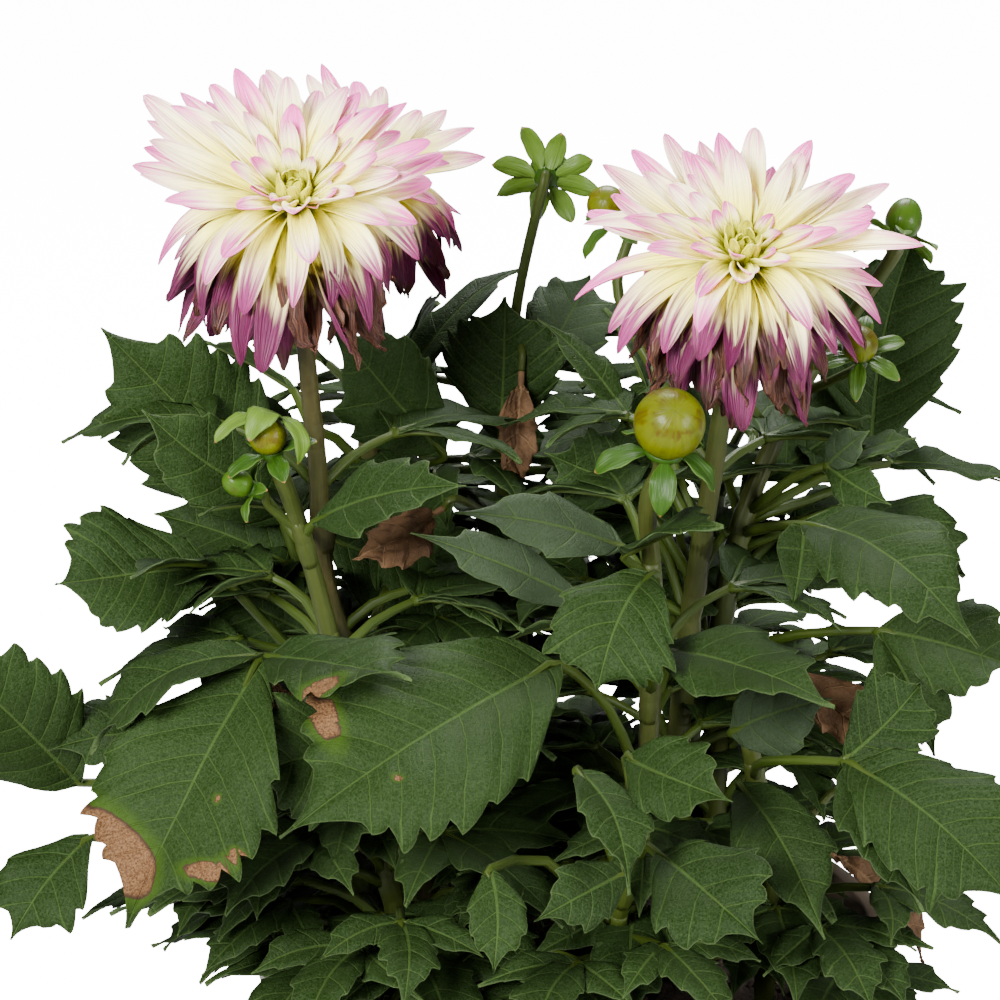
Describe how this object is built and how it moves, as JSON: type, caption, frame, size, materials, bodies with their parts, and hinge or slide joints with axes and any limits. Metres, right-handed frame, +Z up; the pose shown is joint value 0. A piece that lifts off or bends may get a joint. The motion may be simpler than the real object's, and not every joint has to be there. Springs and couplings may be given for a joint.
{
  "type": "potted dahlia",
  "caption": "Potted dahlia in a plain 21 cm tapered pot: three cream and pink blooms, seven buds, twelve leafy stems and six withered leaves.",
  "frame": {"origin": "centre of the pot's underside", "axes": "+Z up along the pot's axis, -Y towards the side that the plant is seen from, +X to the viewer's right"},
  "size_m": [0.35, 0.2995, 0.4602],
  "materials": {
    "pot_plastic": "matte",
    "compost": "matte",
    "leaf_green": "satin",
    "petal_cream": "satin",
    "bud_yellow_green": "satin",
    "withered_brown": "matte"
  },
  "bodies": {
    "root": {"pot": "pot_plastic", "soil": "compost", "leafy_stem_bud_left": "leaf_green", "leafy_stem_bloom_left": "leaf_green", "leafy_stem_bloom_back": "leaf_green", "leafy_stem_bud_back": "leaf_green", "leafy_stem_bud_front": "leaf_green", "leafy_stem_bloom_right": "leaf_green", "leafy_stem_right": "leaf_green", "leafy_stem_low_right": "leaf_green", "leafy_stem_front": "leaf_green", "leafy_stem_low_left": "leaf_green", "leafy_stem_back_left": "leaf_green", "leafy_stem_back_right": "leaf_green", "bloom_left": "petal_cream", "bloom_right": "petal_cream", "bloom_back": "petal_cream", "bud_front": "bud_yellow_green", "bud_left": "bud_yellow_green", "bud_right": "bud_yellow_green", "bud_opening": "bud_yellow_green", "withered_leaf_left": "withered_brown", "withered_leaf_right": "withered_brown", "withered_leaf_back": "withered_brown", "withered_leaf_low_left": "withered_brown", "withered_leaf_low_right": "withered_brown", "withered_leaf_rim": "withered_brown"}
  },
  "joints": []
}
